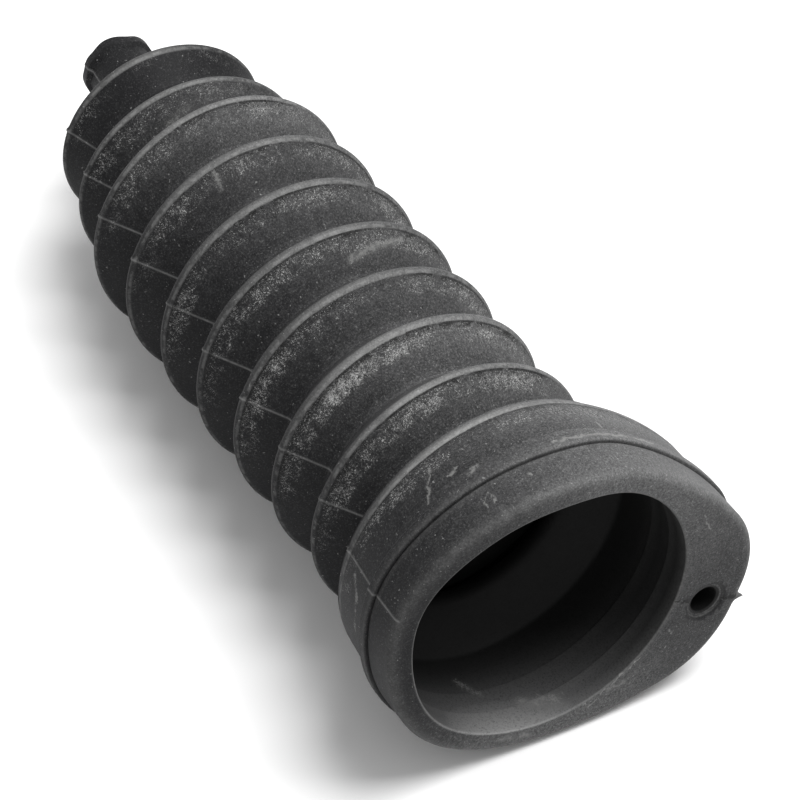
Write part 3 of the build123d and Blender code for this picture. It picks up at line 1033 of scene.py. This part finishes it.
class Rubber(Finish):
    """Matte charcoal rubber: fine grain, cloudy wear, dust that carries painted light on the lit side and
    painted shade towards the valleys, pale edges that are partly worn and partly a painted highlight, a
    light band along the crests that is partly polishing and partly a painted highlight, chalky granular
    bloom in front of each crest with dark pits beside it, scuffs, painted shade in the crease and the ear's
    hole, and clean dark rubber inside."""

    def __init__(self, layout, look):
        super().__init__("charcoal_rubber")
        self.layout = layout
        self.look = look
        self.ridge, self.front, self.bloom = (self.field(name) for name in ("ridge", "front", "bloom"))
        self.dusty, self.inside, self.edge = (self.field(name) for name in ("dusty", "inside", "edge"))
        self.outside = 1 - self.inside
        self.grain = self.noise(look.grain, 3.0, 0.8)
        self.fine = self.noise(look.grain * 0.7, 2.0, 0.75, 0.3, 1.2)
        self.mottle = self.noise(look.mottle, 4.0, 0.65, 0.7)
        self.clouds = self.noise(look.cloud, 3.0, 0.6, 1.1)
        self.by_crest = self.ridge.ramp(5.0, 4.0) * self.outside

    def ground(self):
        """Rubber greyed by dust and handling and by painted light on the lit side, with painted shade
        towards the valleys, and darker inside.
        """
        look = self.look
        # Painted shade: the greying fades towards each valley
        valley = self.front.ramp(*VALLEY_SHADE) * self.ridge.ramp(FAR - 10, FAR - 11)
        cloudy = 0.25 + 0.8 * self.mottle + 0.8 * self.clouds
        worn = self.dusty * cloudy * (1 - 0.4 * valley) + 0.35 * (self.mottle - 0.55)
        light_grain = (self.grain * 0.5 + self.fine * 0.5).ramp(0.5, 0.68)
        dark_grain = (self.grain * 0.6 + self.fine * 0.4).ramp(0.52, 0.34)
        # Greying by dust and handling, and painted light on the lit side
        outer = self.over((*look.rubber, 1.0), worn, look.rubber_worn_and_lit)
        outer = self.over(outer, dark_grain * 0.75, look.pit)
        outer = self.over(outer, light_grain * (0.1 + 0.3 * self.dusty), look.bloom)
        # Inside, the field is the land's painted pool of light: it greys the rubber, and where strongest
        # lays the bloom's pale shade over it
        deep = self.over((*look.rubber_inside, 1.0), self.dusty, look.rubber_worn_and_lit)
        deep = self.over(deep, 0.6 * (self.dusty - 0.9).most(0.0), look.bloom)
        deep = self.over(deep, dark_grain * 0.6, look.pit)
        return self.mix(self.inside, outer, deep)

    def polish_and_highlight(self):
        """The light band along each crest and a thinner light line all along it, both partly polishing and
        partly painted highlight.
        """
        band = self.front.band(*POLISH_AND_HIGHLIGHT_BAND) * self.by_crest * self.field("polish_and_highlight_strength")
        line = self.front.band(*THIN_HIGHLIGHT_BAND) * self.by_crest * self.mottle.ramp(0.4, 0.6)
        return band * (0.5 + 0.4 * self.bloom) * (0.35 + 1.2 * self.grain) + 0.2 * line

    def chalk(self):
        """The bloom in front of each crest: its load, its light grains and the dark gaps between them."""
        patches = (0.5 + 0.7 * self.clouds.ramp(0.38, 0.64)) * (0.35 + self.mottle.ramp(0.4, 0.6))
        load = self.bloom * self.front.band(*BLOOM_BAND) * self.by_crest * patches
        grains = (self.fine + load * 0.11).ramp(0.6, 0.66) * load.ramp(0.04, 0.35)
        gaps = (self.grain + load * 0.05).ramp(0.5, 0.4) * load.ramp(0.1, 0.5)
        return load, grains, gaps

    def pits(self):
        """The broken dark line in front of each crest, and the pits beside it."""
        line = self.front.band(*DARK_LINE) * (self.clouds * 0.6 + self.mottle * 0.6).ramp(0.48, 0.62)
        strewn = (self.grain * 0.5 + self.mottle * 0.5 + self.bloom * 0.06).ramp(0.54, 0.59)
        pits = (line * 0.9).most(self.front.band(*PIT_BAND) * strewn)
        return pits * self.by_crest * self.bloom.ramp(0.1, 0.5)

    def hole(self):
        """Painted shade in the ear's hole and a thin ring of painted shade round it, by distance from the
        hole's axis.
        """
        layout = self.layout
        middle = tuple(layout.start + layout.ear * layout.hole_distance)
        offset = self.vector("SUBTRACT", self.place, middle)
        away = self.vector("LENGTH", self.vector("CROSS_PRODUCT", offset, tuple(layout.along))) / MM
        return away.ramp(*HOLE_SHADE).most(0.5 * away.band(*HOLE_RING_SHADE) * self.outside)

    def strokes(self):
        """The pale scuffs and the dark smears, with their places shaken by a noise."""
        look = self.look
        inputs = {"Vector": self.place, "Scale": 1 / look.shake, "Detail": 3.0}
        shake = self.value(self.node("ShaderNodeTexNoise", {}, inputs).outputs["Color"])
        shift = self.vector("SUBTRACT", shake, (0.5, 0.5, 0.5))
        place = self.vector("ADD", self.place, self.vector("SCALE", shift, scale=look.shake_reach))
        jitter = 3.5 * (self.grain - 0.5) + 1.5 * (self.mottle - 0.5)
        scuffs = (stroke_distance(self, self.layout, SCUFFS, place) + jitter).ramp(1.5, 0.3)
        smears = (stroke_distance(self, self.layout, SMEARS, place) + jitter * 0.5).ramp(1.2, 0.5)
        return scuffs, smears

    def build(self):
        """Lays the marks over the ground and feeds the shader."""
        look = self.look
        polish_and_highlight = self.polish_and_highlight()
        load, grains, gaps = self.chalk()
        pits = self.pits()
        scuffs, smears = self.strokes()
        specks = (self.noise(look.speck, 1.0, 0.5, 2.0) + self.clouds * 0.15).ramp(0.8, 0.86)
        # Pale edges: partly wear and partly painted highlight
        wear = self.edge * (0.2 + 0.7 * self.mottle) * (0.2 + 1.2 * self.grain)
        # Painted shade in the crease, and in and round the ear's hole
        dark = (self.field("crease") * look.crease_shade_cover).most(self.hole() * look.hole_shade_cover)
        layers = (
            (wear * look.edge_wear_and_highlight_cover, look.bloom),
            (load.ramp(0.0, 1.2) * look.haze_cover, look.bloom),
            (polish_and_highlight * look.polish_and_highlight_cover, look.bloom),
            (self.field("parting") * (0.05 + 0.4 * self.mottle), look.bloom),
            (specks * self.outside * look.speck_cover, look.bloom),
            (grains * look.bloom_cover, look.bloom),
            (gaps * look.gap_cover, look.pit),
            (scuffs * look.scuff_cover, look.scuff),
            (pits * look.pit_cover, look.pit),
            (smears * look.smear_cover, look.pit),
            (dark, look.pit),
        )
        surface = self.ground()
        for factor, shade in layers:
            surface = self.over(surface, factor, shade)
        rough = 0.44 + 0.16 * self.mottle + 0.25 * grains - 0.06 * polish_and_highlight
        depth = look.grain_depth / MM
        relief = (self.grain - 0.5) * depth + (self.fine - 0.5) * (depth * 0.6)
        relief = relief + grains * 0.03 - pits * (look.pit_depth / MM)
        normal = self.node("ShaderNodeBump", {}, {"Strength": 1.0, "Distance": MM, "Height": relief})
        inputs = {"Base Color": surface, "Specular IOR Level": look.sheen, "Roughness": rough}
        inputs["Normal"] = self.value(normal.outputs["Normal"])
        self.feed(self.tree.nodes["Principled BSDF"], inputs)
        return self.material


class BOOT_OT_skin(Operator):
    """Build the boot's rubber skin."""

    bl_idname = "boot.skin"
    bl_label = "Rubber skin"

    def execute(self, context):
        layout = Layout(context.scene.boot_mouth, context.scene.boot_folds)
        skin = build_skin(layout)
        cut(skin, hole_cutter(layout))
        skin.data.materials.append(Rubber(layout, context.scene.boot_look).build())
        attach(skin, "root")
        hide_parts("bellows_boot")
        return {"FINISHED"}


def floor_material(name, shade):
    """Floor white to the camera and in reflections, and plain pale to the light that it passes on."""
    material = bpy.data.materials.new(name)
    material.use_nodes = True
    nodes = Nodes(material.node_tree)
    shades = nodes.mix(nodes.seen_directly(), (shade, shade, shade, 1.0), (1.0, 1.0, 1.0, 1.0))
    inputs = {"Base Color": shades, "Roughness": 0.9, "Specular IOR Level": 0.0}
    nodes.feed(nodes.tree.nodes["Principled BSDF"], inputs)
    return material


def look_matrix(forward, roll):
    """A camera's turn: it looks along forward with the picture level, then rolls."""
    right = forward.cross(Vector((0, 0, 1))).normalized()
    up = right.cross(forward)
    turned_right = right * cos(roll) + up * sin(roll)
    turned_up = up * cos(roll) - right * sin(roll)
    return Matrix((turned_right, turned_up, -forward)).transposed()


def add_camera(stage, layout):
    """The camera stands back from a point of the boot's axis, against its line of sight."""
    forward = Vector((
        -sin(stage.azimuth) * cos(stage.elevation),
        cos(stage.azimuth) * cos(stage.elevation),
        -sin(stage.elevation),
    ))
    data = bpy.data.cameras.new("camera")
    data.lens = stage.lens
    data.sensor_width = SENSOR_WIDTH
    data.clip_start, data.clip_end = CLIP
    camera = add_object("camera", data)
    aim = Vector(layout.start + layout.along * stage.aim_station)
    aim += Vector((0, -stage.aim_aside, stage.aim_up))
    place = Matrix.Translation(aim - forward * stage.distance)
    camera.matrix_world = place @ look_matrix(forward, stage.roll).to_4x4()
    bpy.context.scene.camera = camera
    return camera


def add_area(name, place, target, size, power):
    """A soft square light that faces its target."""
    data = bpy.data.lights.new(name, "AREA")
    data.shape = "SQUARE"
    data.size = size
    data.energy = power
    light = add_object(name, data)
    forward = (Vector(target) - Vector(place)).normalized()
    light.matrix_world = Matrix.Translation(place) @ look_matrix(forward, 0).to_4x4()
    return light


class BOOT_OT_stage(Operator):
    """Build the floor, the lights and the camera."""

    bl_idname = "boot.stage"
    bl_label = "Floor, lights and camera"

    def execute(self, context):
        scene = context.scene
        stage = scene.boot_stage
        layout = Layout(scene.boot_mouth, scene.boot_folds)
        middle = (Vector(CAD_BOX[0]) + Vector(CAD_BOX[1])) / 2
        half = stage.floor_size
        corners = [(-half, -half), (half, -half), (half, half), (-half, half)]
        floor = add_mesh("floor", [(x, y, layout.floor) for x, y in corners], [(0, 1, 2, 3)])
        floor.data.materials.append(floor_material("floor_white", stage.floor_shade))
        add_camera(stage, layout)
        add_area("key", middle + Vector(stage.key_place), middle, stage.key_size, stage.key)
        world = bpy.data.worlds.new("world")
        scene.world = world
        world.use_nodes = True
        nodes = Nodes(world.node_tree)
        strength = nodes.mix(nodes.seen_directly(), stage.fill, 1.0, "FLOAT")
        nodes.feed(nodes.tree.nodes["Background"], {"Color": (1, 1, 1, 1), "Strength": strength})
        scene.view_settings.view_transform = "Standard"
        return {"FINISHED"}


class BOOT_PT_panel(Panel):
    """Lists the boot's operators."""

    bl_label = "Bellows boot"
    bl_idname = "BOOT_PT_panel"
    bl_space_type = "VIEW_3D"
    bl_region_type = "UI"
    bl_category = "Boot"

    def draw(self, context):
        for operator in OPERATORS:
            self.layout.operator(operator.bl_idname)


GROUPS = {"boot_mouth": MouthSizes, "boot_folds": FoldSizes, "boot_look": SkinLook, "boot_stage": StageLook}
OPERATORS = (BOOT_OT_skin, BOOT_OT_stage)
CLASSES = (*GROUPS.values(), *OPERATORS, BOOT_PT_panel)


def register():
    for cls in CLASSES:
        bpy.utils.register_class(cls)
    for name, group in GROUPS.items():
        setattr(bpy.types.Scene, name, PointerProperty(type=group))


def unregister():
    for name in GROUPS:
        delattr(bpy.types.Scene, name)
    for cls in reversed(CLASSES):
        bpy.utils.unregister_class(cls)


def main():
    register()
    bpy.ops.boot.skin()
    bpy.ops.boot.stage()


if __name__ == "__main__":
    main()
